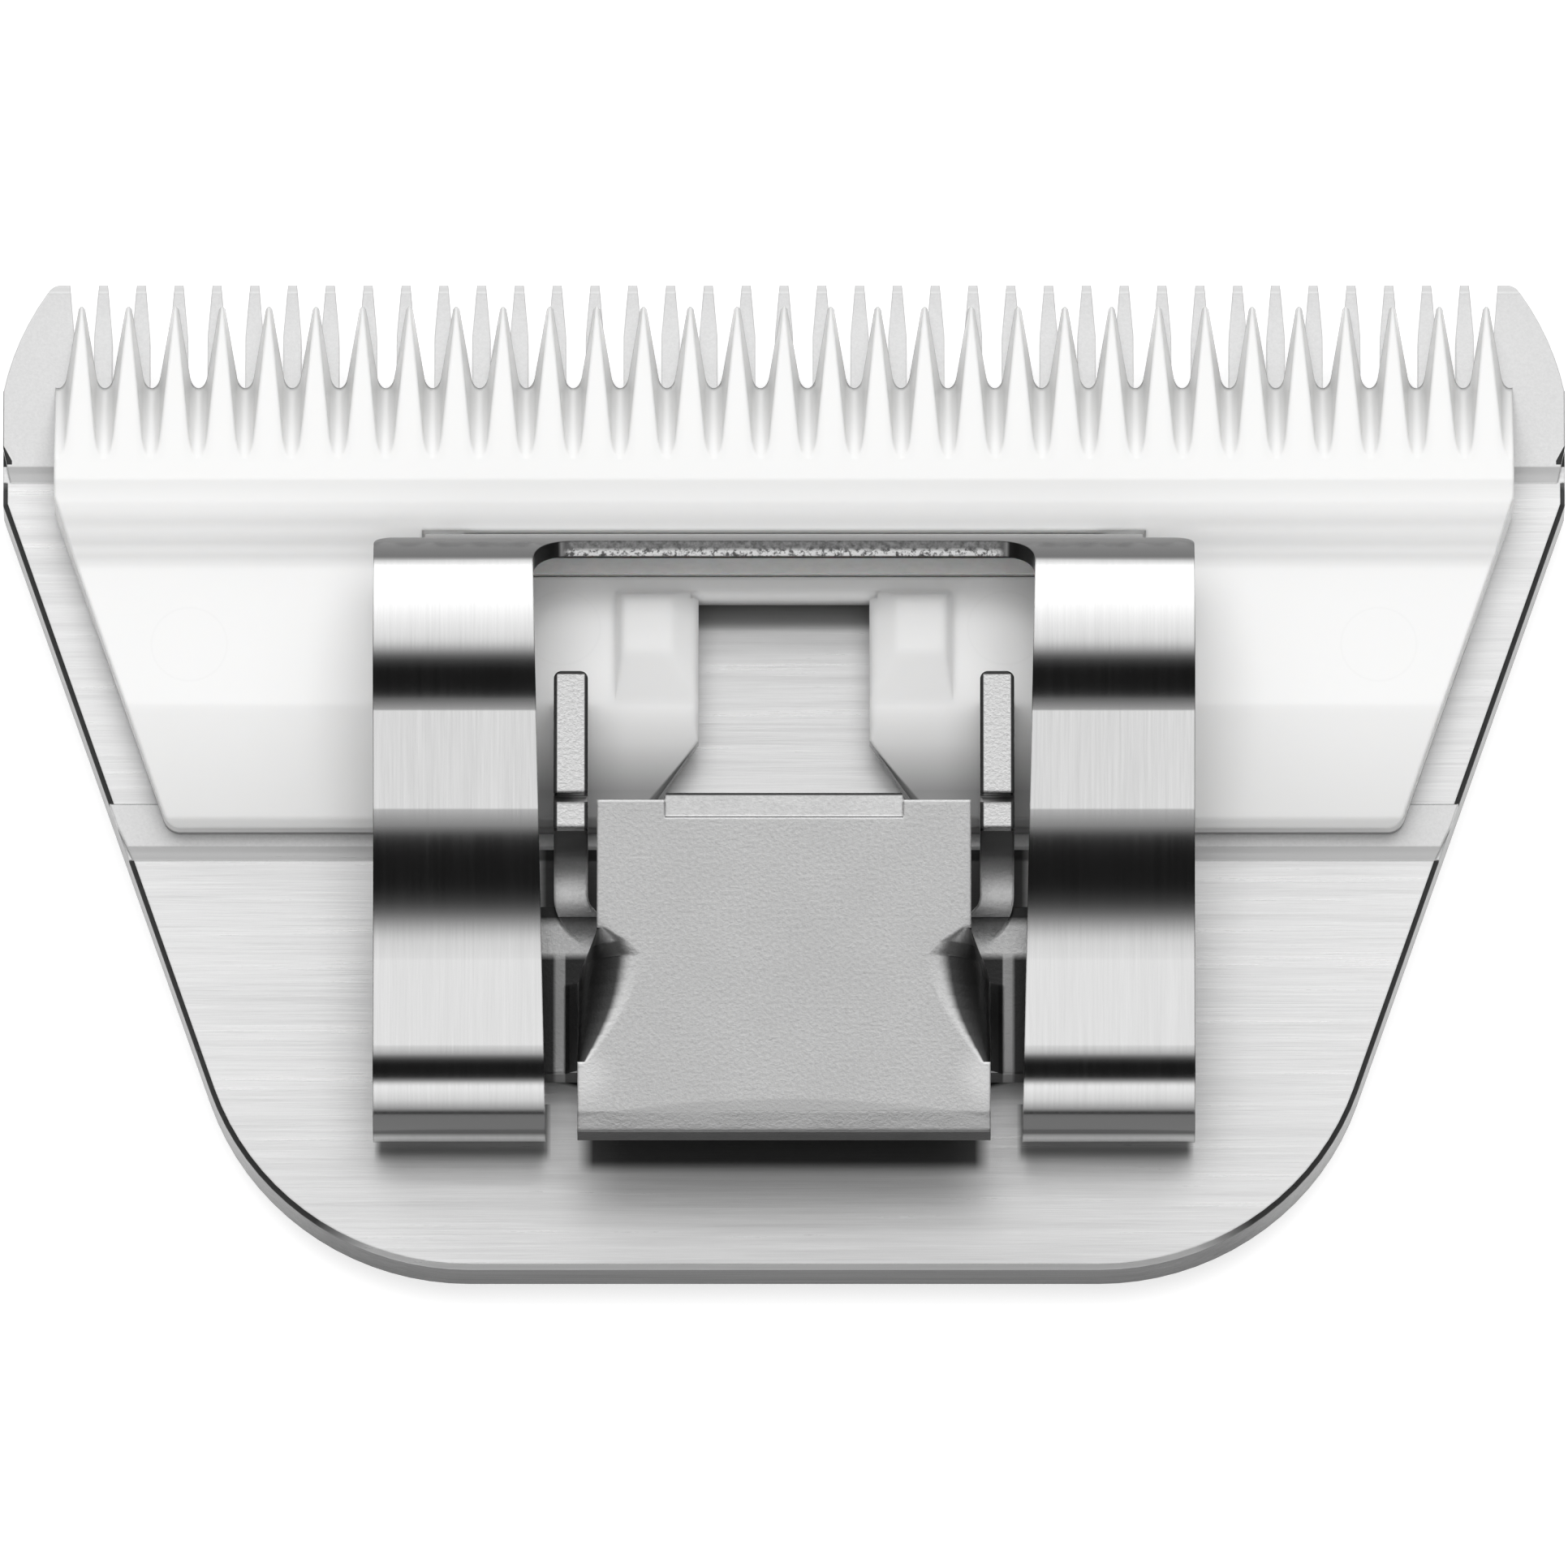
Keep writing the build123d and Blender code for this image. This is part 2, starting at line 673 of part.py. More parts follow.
def socket_ear():
    """Upright ear: it leaves the wall, steps outwards past the plate and runs forwards over the cutter."""
    half = socket_sheet / 2
    wall_x = socket_front_width / 2 - half
    ear_x = socket_front_width / 2 + ear_gap + half
    front_y = socket_front_y + ear_reach
    top_rear_y = front_y - ear_top_length
    sweep = plate_top - flange_top
    start_y = wall_front_y - socket_sheet
    path = FilletPolyline(
        (wall_x, start_y),
        (wall_x, wall_front_y),
        (ear_x, wall_front_y + joggle_length),
        (ear_x, front_y),
        radius=socket_sheet,
    )
    strip = strip_face(path, socket_sheet)
    ear = plan_prism(strip, flange_top - socket_sheet / 2, plate_top)
    across = Rot(0, 90, 0) * Cylinder(sweep, 4 * socket_sheet)
    hollow = Pos(ear_x, top_rear_y - sweep, plate_top) * across
    behind = Pos(ear_x, top_rear_y - 2 * sweep, plate_top) * Box(4 * socket_sheet, 2 * sweep, 2 * sweep)
    low = cutter_flat + ear_clearance
    step_y = cutter_rear_y - 2 * ear_clearance
    past_y = front_y + margin
    under = side_prism([(step_y, 0), (step_y, low), (past_y, low), (past_y, 0)], 4 * ear_x)
    notch_y = front_y - ear_notch_place
    notch = Pos(ear_x, notch_y, plate_top) * Box(4 * socket_sheet, ear_notch_width, 2 * ear_notch_depth)
    ear -= [hollow, behind, under, notch]
    return fillet(ear.edges().filter_by(Axis.Z).group_by(Axis.Y)[-1], ear_tip_radius)


def make_socket():
    side = socket_wall() + socket_flange()
    side += socket_ear()
    return socket_plate() + at_both_sides(side)


def make_screw():
    """Slotted countersunk screw, head down."""
    shank = screw_diameter / 2
    head = screw_head_diameter / 2
    tip = flange_top + screw_protrusion
    points = [
        (0, screw_recess),
        (head, screw_recess),
        (shank, screw_recess + screw_head_height),
        (shank, tip - screw_protrusion / 2),
        (shank - screw_protrusion / 2, tip),
        (0, tip),
    ]
    screw = revolve(Plane.XZ * Polygon(*points, align=None), Axis.Z)
    slot = Pos(0, 0, screw_recess) * Box(screw_head_diameter, screw_slot_width, 2 * screw_slot_depth)
    return screw - slot


def make_screws():
    return Compound(children=[Pos(x, y, 0) * make_screw() for x, y in screw_places])


pieces = {
    "comb": make_comb,
    "ceramic_cutter": make_cutter,
    "tension_spring": make_spring,
    "cutter_guide": make_guide,
    "hinge_socket": make_socket,
    "clamp_screws": make_screws,
}

for name, make in pieces.items():
    export_step(make(), f"parts/{name}.step")
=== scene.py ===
import math

import bpy
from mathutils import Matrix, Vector


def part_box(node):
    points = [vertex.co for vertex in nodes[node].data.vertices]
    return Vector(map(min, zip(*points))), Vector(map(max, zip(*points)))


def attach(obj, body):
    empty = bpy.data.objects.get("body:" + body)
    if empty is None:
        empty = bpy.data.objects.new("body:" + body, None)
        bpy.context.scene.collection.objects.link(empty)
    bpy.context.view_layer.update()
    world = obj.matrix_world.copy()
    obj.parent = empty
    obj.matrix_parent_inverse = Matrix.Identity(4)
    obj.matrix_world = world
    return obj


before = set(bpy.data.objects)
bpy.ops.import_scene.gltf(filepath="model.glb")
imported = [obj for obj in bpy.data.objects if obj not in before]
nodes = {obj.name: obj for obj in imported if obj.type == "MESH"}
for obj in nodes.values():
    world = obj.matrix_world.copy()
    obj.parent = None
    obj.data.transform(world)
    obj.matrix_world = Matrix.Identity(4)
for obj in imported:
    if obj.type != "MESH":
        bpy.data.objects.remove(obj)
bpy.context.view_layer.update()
mm = 0.001
print("frame loaded:", ", ".join(sorted(nodes)))


# small helpers for node trees

def addNode(tree, kind, settings=None, inputs=None):
    node = tree.nodes.new(kind)
    for name, value in (settings or {}).items():
        setattr(node, name, value)
    for name, value in (inputs or {}).items():
        if isinstance(value, bpy.types.NodeSocket):
            tree.links.new(value, node.inputs[name])
        else:
            node.inputs[name].default_value = value
    return node


def maths(tree, operation, a, b=0.0, clamp=False):
    node = addNode(tree, "ShaderNodeMath", {"operation": operation, "use_clamp": clamp}, {0: a, 1: b})
    return node.outputs[0]


def product(tree, mask, *others):
    for other in others:
        mask = maths(tree, "MULTIPLY", mask, other)
    return mask


def largest(tree, mask, *others):
    for other in others:
        mask = maths(tree, "MAXIMUM", mask, other)
    return mask


def rangeOf(tree, value, fromLow, fromHigh, toLow=0.0, toHigh=1.0, smooth=False):
    kind = "SMOOTHSTEP" if smooth else "LINEAR"
    node = addNode(tree, "ShaderNodeMapRange", {"interpolation_type": kind}, {
        "Value": value, "From Min": fromLow, "From Max": fromHigh, "To Min": toLow, "To Max": toHigh})
    return node.outputs["Result"]


def spanOf(tree, value, places, toLow=0.0, toHigh=1.0, smooth=False):
    return rangeOf(tree, value, places[0] * mm, places[1] * mm, toLow, toHigh, smooth)  # places in millimetres


def steppedRamp(tree, value, places, step):
    # one share by the middle place, the rest by the last
    quick = spanOf(tree, value, places[:2], 0.0, step)
    slow = spanOf(tree, value, places[1:], 0.0, 1.0 - step)
    return maths(tree, "ADD", quick, slow, True)


def axes(tree, vector):
    return addNode(tree, "ShaderNodeSeparateXYZ", None, {"Vector": vector}).outputs


def distanceTo(tree, first, second, place):
    offset = addNode(tree, "ShaderNodeCombineXYZ", None, {
        "X": maths(tree, "SUBTRACT", first, place[0] * mm), "Y": maths(tree, "SUBTRACT", second, place[1] * mm)})
    return addNode(tree, "ShaderNodeVectorMath", {"operation": "LENGTH"}, {0: offset.outputs[0]}).outputs["Value"]


def blendColours(tree, mask, first, second):
    return addNode(tree, "ShaderNodeMix", {"data_type": "RGBA"}, {0: mask, 6: first, 7: second}).outputs[2]


def blendValues(tree, mask, first, second):
    return addNode(tree, "ShaderNodeMix", {"data_type": "FLOAT"}, {0: mask, 2: first, 3: second}).outputs[0]


def grey(level):
    return (level, level, level, 1.0)


def newGroup(name, inputs, outputs):
    group = bpy.data.node_groups.new(name, "ShaderNodeTree")
    for label, kind, value in inputs:
        socket = group.interface.new_socket(name=label, in_out="INPUT", socket_type=kind)
        if value is not None:
            socket.default_value = value
    for label, kind in outputs:
        group.interface.new_socket(name=label, in_out="OUTPUT", socket_type=kind)
    return group, group.nodes.new("NodeGroupInput"), group.nodes.new("NodeGroupOutput")


def useGroup(tree, group, inputs):
    return addNode(tree, "ShaderNodeGroup", {"node_tree": group}, inputs).outputs


# shared finishes

def makeGrindGroup():
    # long scratches: two noises on stretched coordinates
    group, start, end = newGroup("grindScratches", [
        ("Place", "NodeSocketVector", None),
        ("Coarse Share", "NodeSocketFloat", 0.35),
        ("Contrast", "NodeSocketFloat", 1.6)],
        [("Scratch", "NodeSocketFloat")])
    fine = addNode(group, "ShaderNodeTexNoise", None, {
        "Vector": start.outputs["Place"], "Scale": 1.0, "Detail": 5.0, "Roughness": 0.72})
    coarse = addNode(group, "ShaderNodeTexNoise", None, {
        "Vector": start.outputs["Place"], "Scale": 0.27, "Detail": 3.0, "Roughness": 0.6})
    both = blendValues(group, start.outputs["Coarse Share"], fine.outputs[0], coarse.outputs[0])
    spread = maths(group, "MULTIPLY", maths(group, "SUBTRACT", both, 0.5), start.outputs["Contrast"])
    group.links.new(maths(group, "ADD", spread, 0.5, True), end.inputs["Scratch"])
    return group


def makeGrainGroup():
    # fine tumbled or sintered grain, rare darker specks and a slow cloud
    group, start, end = newGroup("fineGrain", [
        ("Place", "NodeSocketVector", None),
        ("Speck Share", "NodeSocketFloat", 0.2)],
        [("Grain", "NodeSocketFloat"), ("Specks", "NodeSocketFloat"), ("Cloud", "NodeSocketFloat")])
    grain = addNode(group, "ShaderNodeTexNoise", None, {
        "Vector": start.outputs["Place"], "Scale": 1.0, "Detail": 3.0, "Roughness": 0.7})
    cells = addNode(group, "ShaderNodeTexVoronoi", None, {"Vector": start.outputs["Place"], "Scale": 0.6})
    cloud = addNode(group, "ShaderNodeTexNoise", None, {
        "Vector": start.outputs["Place"], "Scale": 0.05, "Detail": 2.0, "Roughness": 0.5})
    picked = addNode(group, "ShaderNodeSeparateColor", None, {"Color": cells.outputs["Color"]})
    chosen = maths(group, "LESS_THAN", picked.outputs[0], start.outputs["Speck Share"])
    dot = rangeOf(group, cells.outputs["Distance"], 0.1, 0.4, 1.0, 0.0)
    group.links.new(rangeOf(group, grain.outputs[0], 0.25, 0.75), end.inputs["Grain"])
    group.links.new(maths(group, "MULTIPLY", chosen, dot, True), end.inputs["Specks"])
    group.links.new(rangeOf(group, cloud.outputs[0], 0.3, 0.7), end.inputs["Cloud"])
    return group


def makeEdgeGroup():
    # softened edges: a rounded normal, and a mask where it leaves the flat face
    group, start, end = newGroup("softEdges", [
        ("Radius", "NodeSocketFloat", 0.1 * mm)],
        [("Normal", "NodeSocketVector"), ("Edge", "NodeSocketFloat")])
    bevel = addNode(group, "ShaderNodeBevel", {"samples": 6}, {"Radius": start.outputs["Radius"]})
    geometry = addNode(group, "ShaderNodeNewGeometry")
    agree = addNode(group, "ShaderNodeVectorMath", {"operation": "DOT_PRODUCT"}, {
        0: bevel.outputs[0], 1: geometry.outputs["Normal"]})
    group.links.new(bevel.outputs[0], end.inputs["Normal"])
    group.links.new(rangeOf(group, agree.outputs["Value"], 0.995, 0.85), end.inputs["Edge"])
    return group


grindScratches = makeGrindGroup()
fineGrain = makeGrainGroup()
softEdges = makeEdgeGroup()
print("shared finishes ready")


def newMaterial(name):
    material = bpy.data.materials.new(name)
    material.use_nodes = True
    tree = material.node_tree
    tree.nodes.clear()
    shader = tree.nodes.new("ShaderNodeBsdfPrincipled")
    output = tree.nodes.new("ShaderNodeOutputMaterial")
    tree.links.new(shader.outputs[0], output.inputs["Surface"])
    coords = tree.nodes.new("ShaderNodeTexCoord")
    return material, tree, shader, coords


def stretched(tree, coords, perMillimetre):
    scale = [count / mm for count in perMillimetre]
    node = addNode(tree, "ShaderNodeMapping", None, {"Vector": coords.outputs["Object"], "Scale": scale})
    return node.outputs["Vector"]


def bumped(tree, height, strength, depth, normal):
    node = addNode(tree, "ShaderNodeBump", None, {
        "Strength": strength, "Distance": depth * mm, "Height": height, "Normal": normal})
    return node.outputs["Normal"]


def connect(tree, shader, colour, roughness, normal):
    tree.links.new(colour, shader.inputs["Base Color"])
    tree.links.new(roughness, shader.inputs["Roughness"])
    tree.links.new(normal, shader.inputs["Normal"])


# comb: ground plate with scratches across, blasted rails and teeth
# places and depths are in millimetres, facings are parts of the normal

combFinish = {
    "plateLight": 0.99, "plateDark": 0.82, "plateRoughness": (0.38, 0.25), "metallic": 0.45,
    "scratchPerMm": (0.16, 7.0, 7.0), "coarseShare": 0.45, "contrast": 2.8,
    "rearShade": 0.92, "fadeReach": (-19.0, 6.0),
    "railLight": 0.88, "railDark": 0.80, "railRoughness": (0.55, 0.50), "railRise": (2.50, 2.60),
    "grainPerMm": (9.0, 9.0, 9.0), "grainHeight": 0.4, "bump": 0.45, "bumpDepth": 0.012,
    "tip": 0.62, "tipStart": (19.05, 19.25), "upper": 1.9,
    "slotShade": 0.12, "slotShare": 0.80, "slotReach": (5.65, 6.15), "slotSide": (5.6, 5.2), "slotEnd": 9.0,
    "bevel": 0.64, "bevelFacing": (-0.25, -0.40), "bevelFoot": (2.36, 2.38),
    "line": 0.10, "lineLevel": (0.85, 0.95), "lineTurn": (0.25, 0.1), "edgeRadius": 0.10,
    "nickReach": (13.05, 12.45), "nickSide": (29.98, 29.66), "nickRear": 12.3, "nickFacing": (0.5, 0.8),
    "leafShade": 0.16, "leafShare": 0.85, "leafInner": (8.9, 9.1), "leafOuter": (15.7, 15.4),
    "leafRear": (-15.4, -14.8), "leafFront": -13.0,
    "mouthShade": 0.06, "mouthSide": (7.6, 9.4), "mouthStep": (-12.4, -11.9), "mouthSoft": (0.3, -0.3),
    "mouthRear": (-15.9, -15.2), "mouthFront": -3.0,
    "rim": 0.04, "rimFront": (11.4, 13.1), "rimTop": (2.50, 2.36), "rimUpright": (0.6, 0.4),
    "rimLean": (0.82, 0.72), "rimAside": (0.25, 0.4), "rimLeast": 0.4,
    "side": 0.34, "sideFacing": (0.5, 0.9), "sideUpright": (0.6, 0.3)}


def makeCombSteel(look):
    material, tree, shader, coords = newMaterial("combSteel")
    scratches = useGroup(tree, grindScratches, {
        "Place": stretched(tree, coords, look["scratchPerMm"]),
        "Coarse Share": look["coarseShare"], "Contrast": look["contrast"]})
    grain = useGroup(tree, fineGrain, {"Place": stretched(tree, coords, look["grainPerMm"])})
    edges = useGroup(tree, softEdges, {"Radius": look["edgeRadius"] * mm})
    place = axes(tree, coords.outputs["Object"])
    facing = axes(tree, coords.outputs["Normal"])
    across = maths(tree, "ABSOLUTE", place["X"])
    level = maths(tree, "ABSOLUTE", facing["Z"])
    aside = maths(tree, "ABSOLUTE", facing["X"])
    upper = maths(tree, "GREATER_THAN", place["Z"], look["upper"] * mm)
    behindTeeth = spanOf(tree, place["Y"], look["rimFront"], 1.0, 0.0)

    plate = blendColours(tree, scratches["Scratch"], grey(look["plateDark"]), grey(look["plateLight"]))
    rearShaded = addNode(tree, "ShaderNodeVectorMath", {"operation": "SCALE"}, {
        0: plate, "Scale": spanOf(tree, place["Y"], look["fadeReach"], look["rearShade"], 1.0)})  # painted shade, darker towards the rear
    blasted = blendColours(tree, grain["Grain"], grey(look["railDark"]), grey(look["railLight"]))
    rail = spanOf(tree, place["Z"], look["railRise"], smooth=True)
    top = blendColours(tree, rail, rearShaded.outputs["Vector"], blasted)
    top = blendColours(tree, spanOf(tree, place["Y"], look["tipStart"]), top, grey(look["tip"]))  # worn tips

    slot = product(
        tree, spanOf(tree, across, look["slotSide"]),
        spanOf(tree, place["Y"], look["slotReach"], 0.0, look["slotShare"], True),
        maths(tree, "LESS_THAN", place["Y"], look["slotEnd"] * mm), upper)
    top = blendColours(tree, slot, top, grey(look["slotShade"]))  # painted shade at the front of the drive slot, under the cutter's wall
    bevel = product(
        tree, rangeOf(tree, facing["Y"], *look["bevelFacing"]), spanOf(tree, place["Z"], look["bevelFoot"]))
    top = blendColours(tree, bevel, top, grey(look["bevel"]))  # painted shade on the rails' rear-facing bevels
    rounded = axes(tree, edges["Normal"])
    crest = product(
        tree, edges["Edge"], rangeOf(tree, level, *look["lineLevel"]),
        rangeOf(tree, maths(tree, "ABSOLUTE", rounded["X"]), *look["lineTurn"]), behindTeeth)
    top = blendColours(tree, crest, top, grey(look["line"]))  # painted dark lines along the rails' edges, standing in for edge shade

    nickEdge = spanOf(tree, place["Y"], look["nickReach"], *(side * mm for side in look["nickSide"]))
    nickShade = product(
        tree, maths(tree, "GREATER_THAN", across, nickEdge),
        maths(tree, "GREATER_THAN", place["Y"], look["nickRear"] * mm),
        rangeOf(tree, facing["Z"], *look["nickFacing"]))
    top = blendColours(tree, nickShade, top, grey(look["rim"]))  # painted shade in the nick behind each guard tooth
    leaf = product(
        tree, spanOf(tree, across, look["leafInner"]), spanOf(tree, across, look["leafOuter"]),
        maths(tree, "LESS_THAN", place["Y"], look["leafFront"] * mm), upper,
        spanOf(tree, place["Y"], look["leafRear"], 0.0, look["leafShare"], True))
    top = blendColours(tree, leaf, top, grey(look["leafShade"]))  # painted shadow behind the spring's leaves
    mouthEdge = spanOf(tree, place["Y"], look["mouthStep"], *(side * mm for side in look["mouthSide"]))
    mouthShade = product(
        tree, spanOf(tree, maths(tree, "SUBTRACT", across, mouthEdge), look["mouthSoft"]),
        spanOf(tree, place["Y"], look["mouthRear"], smooth=True),
        maths(tree, "LESS_THAN", place["Y"], look["mouthFront"] * mm), upper)
    top = blendColours(tree, mouthShade, top, grey(look["mouthShade"]))  # painted shade in the mouth under the socket

    leaning = product(
        tree, rangeOf(tree, level, *look["rimLean"], smooth=True),
        rangeOf(tree, aside, *look["rimAside"], look["rimLeast"], 1.0))
    upright = largest(tree, rangeOf(tree, level, *look["rimUpright"], smooth=True), leaning)
    rim = product(tree, upright, behindTeeth, spanOf(tree, place["Z"], look["rimTop"]))
    sideways = product(tree, rangeOf(tree, aside, *look["sideFacing"]), rangeOf(tree, level, *look["sideUpright"]))
    sawn = blendColours(tree, sideways, grey(look["rim"]), grey(look["side"]))
    colour = blendColours(tree, rim, top, sawn)  # sawn rim of the plate: its own darker sawn tone, with painted shade making the chamfers and rear face near black

    grindAndShade = rangeOf(tree, scratches["Scratch"], 0.0, 1.0, *look["plateRoughness"])
    matt = rangeOf(tree, grain["Grain"], 0.0, 1.0, *look["railRoughness"])
    pitted = maths(tree, "MULTIPLY", grain["Grain"], look["grainHeight"])
    height = blendValues(tree, rail, scratches["Scratch"], pitted)
    connect(tree, shader, colour, blendValues(tree, rail, grindAndShade, matt),
            bumped(tree, height, look["bump"], look["bumpDepth"], edges["Normal"]))
    shader.inputs["Metallic"].default_value = look["metallic"]
    return material


# cutter: white sintered ceramic with moulded pin marks

ceramicFinish = {
    "white": (0.945, 0.945, 0.940, 1.0), "shade": (0.915, 0.915, 0.910, 1.0), "grainShare": 0.12,
    "roughness": (0.245, 0.255), "grainPerMm": (6.0, 6.0, 6.0), "bumpDepth": 0.01, "ior": 2.15,
    "glow": 0.2, "glowRadius": (1.0, 0.95, 0.88), "glowDepth": 0.35,
    "edgeRadius": 0.20, "lugRadius": 0.55, "lugSide": (7.2, 6.9), "lugRear": (1.0, 1.6), "lugFront": (7.4, 7.0),
    "pinPlaces": ((8.5, 5.35), (22.8, 4.7)), "pinRadius": 1.45, "pinLine": (0.0, 0.07),
    "pinShare": 0.8, "pinBump": 0.006,
    "slope": (0.80, 0.80, 0.795, 1.0), "slopeReach": (2.5, 1.9, -2.4), "slopeStep": 0.25,
    "hingeShade": 0.28, "hingeSide": (13.5, 11.5), "hingeReach": (2.2, 0.77, -1.05), "hingeStep": 0.30,
    "mouthShade": 0.10, "mouthStart": 0.9, "mouthHalf": 3.275, "mouthSpread": 0.85, "mouthSoft": (0.0, 0.10),
    "bevel": (0.825, 0.825, 0.82, 1.0), "bevelStart": (9.6, 11.2),
    "groove": (0.58, 0.58, 0.575, 1.0), "groovePitch": 1.8, "grooveSide": (0.08, 0.92), "grooveReach": (11.7, 15.3),
    "foot": 0.22, "footReach": (3.10, 2.90), "footFront": (6.0, 5.0), "footFacing": (0.8, 0.6)}


def makeCeramic(look):
    material, tree, shader, coords = newMaterial("cutterCeramic")
    grain = useGroup(tree, fineGrain, {"Place": stretched(tree, coords, look["grainPerMm"])})
    place = axes(tree, coords.outputs["Object"])
    facing = axes(tree, coords.outputs["Normal"])
    across = maths(tree, "ABSOLUTE", place["X"])
    lug = product(
        tree, spanOf(tree, place["Y"], look["lugRear"]), spanOf(tree, place["Y"], look["lugFront"]),
        spanOf(tree, across, look["lugSide"]))
    softness = blendValues(tree, lug, look["edgeRadius"] * mm, look["lugRadius"] * mm)  # the pads melt into the top
    edges = useGroup(tree, softEdges, {"Radius": softness})

    marks = []
    for pin in look["pinPlaces"]:  # the same marks on both halves
        reach = distanceTo(tree, across, place["Y"], pin)
        off = maths(tree, "ABSOLUTE", maths(tree, "SUBTRACT", reach, look["pinRadius"] * mm))
        marks.append(spanOf(tree, off, look["pinLine"], 1.0, 0.0))
    rings = largest(tree, *marks)
    tint = maths(tree, "MULTIPLY", grain["Grain"], look["grainShare"])
    marked = maths(tree, "ADD", tint, maths(tree, "MULTIPLY", rings, look["pinShare"]), True)
    body = blendColours(tree, marked, look["white"], look["shade"])

    grindAndShade = steppedRamp(tree, place["Y"], look["slopeReach"], look["slopeStep"])
    body = blendColours(tree, grindAndShade, body, look["slope"])  # painted shade on the rear slope
    hingeShadow = product(
        tree, steppedRamp(tree, place["Y"], look["hingeReach"], look["hingeStep"]),
        spanOf(tree, across, look["hingeSide"], smooth=True))
    body = blendColours(tree, hingeShadow, body, grey(look["hingeShade"]))  # painted shadow in front of the hinge plate
    widen = maths(tree, "SUBTRACT", look["mouthStart"] * mm, place["Y"])
    slant = maths(tree, "ADD", maths(tree, "MULTIPLY", widen, look["mouthSpread"]), look["mouthHalf"] * mm)
    mouthShade = product(
        tree, spanOf(tree, maths(tree, "SUBTRACT", slant, across), look["mouthSoft"]),
        maths(tree, "GREATER_THAN", widen, 0.0))
    body = blendColours(tree, mouthShade, body, grey(look["mouthShade"]))  # painted shade on the slants of the slot's mouth

    # painted shade: the front bevel is coloured darker than the top
    front = spanOf(tree, place["Y"], look["bevelStart"], smooth=True)
    body = blendColours(tree, front, body, look["bevel"])
    wave = maths(tree, "SINE", maths(tree, "MULTIPLY", place["X"], math.pi / (look["groovePitch"] * mm)))
    furrow = rangeOf(tree, maths(tree, "MULTIPLY", wave, wave), *look["grooveSide"], smooth=True)
    deep = spanOf(tree, place["Y"], look["grooveReach"])
    body = blendColours(tree, product(tree, furrow, deep), body, look["groove"])  # painted shade in the grooves between the teeth
    foot = product(
        tree, spanOf(tree, place["Z"], look["footReach"]), spanOf(tree, place["Y"], look["footFront"]),
        rangeOf(tree, maths(tree, "ABSOLUTE", facing["Z"]), *look["footFacing"]))
    colour = blendColours(tree, foot, body, grey(look["foot"]))  # painted shadow along the cutter's foot on the rail

    height = maths(tree, "SUBTRACT", 1.0, rings)
    connect(tree, shader, colour, rangeOf(tree, grain["Grain"], 0.0, 1.0, *look["roughness"]),
            bumped(tree, height, look["pinBump"], look["bumpDepth"], edges["Normal"]))
    shader.inputs["IOR"].default_value = look["ior"]
    shader.inputs["Subsurface Weight"].default_value = look["glow"]
    shader.inputs["Subsurface Radius"].default_value = look["glowRadius"]
    shader.inputs["Subsurface Scale"].default_value = look["glowDepth"] * mm
    return material


# spring: satin strip, grain runs along it, sheared edges are rough

springFinish = {
    "light": 0.85, "dark": 0.71, "roughness": (0.19, 0.09), "grainPerMm": (9.0, 0.22, 0.22),
    "coarseShare": 0.3, "contrast": 1.6, "bump": 0.05, "bumpDepth": 0.01,
    "bend": 0.12, "bendFacing": (0.735, 0.81), "bendUpright": (0.10, 0.25),
    "rearShift": 0.12, "rearFacing": (-0.2, -0.4), "line": 0.10, "lineShare": 0.8, "edgeRadius": 0.09,
    "cutAside": (0.2, 0.4), "cutFacing": (-0.48, -0.53), "cutUpward": (0.02, 0.10), "cutRoughness": 0.42,
    "shearPerMm": (5.0, 5.0, 5.0), "shearLight": 0.40, "shearDark": 0.10,
    "archCentre": (3.1, 5.0), "fleck": 0.95, "fleckReach": (5.32, 5.18), "fleckGrain": (0.30, 0.55),
    "corner": 0.04, "cornerStart": (0.1, 0.3), "cornerEnd": (0.985, 0.95)}


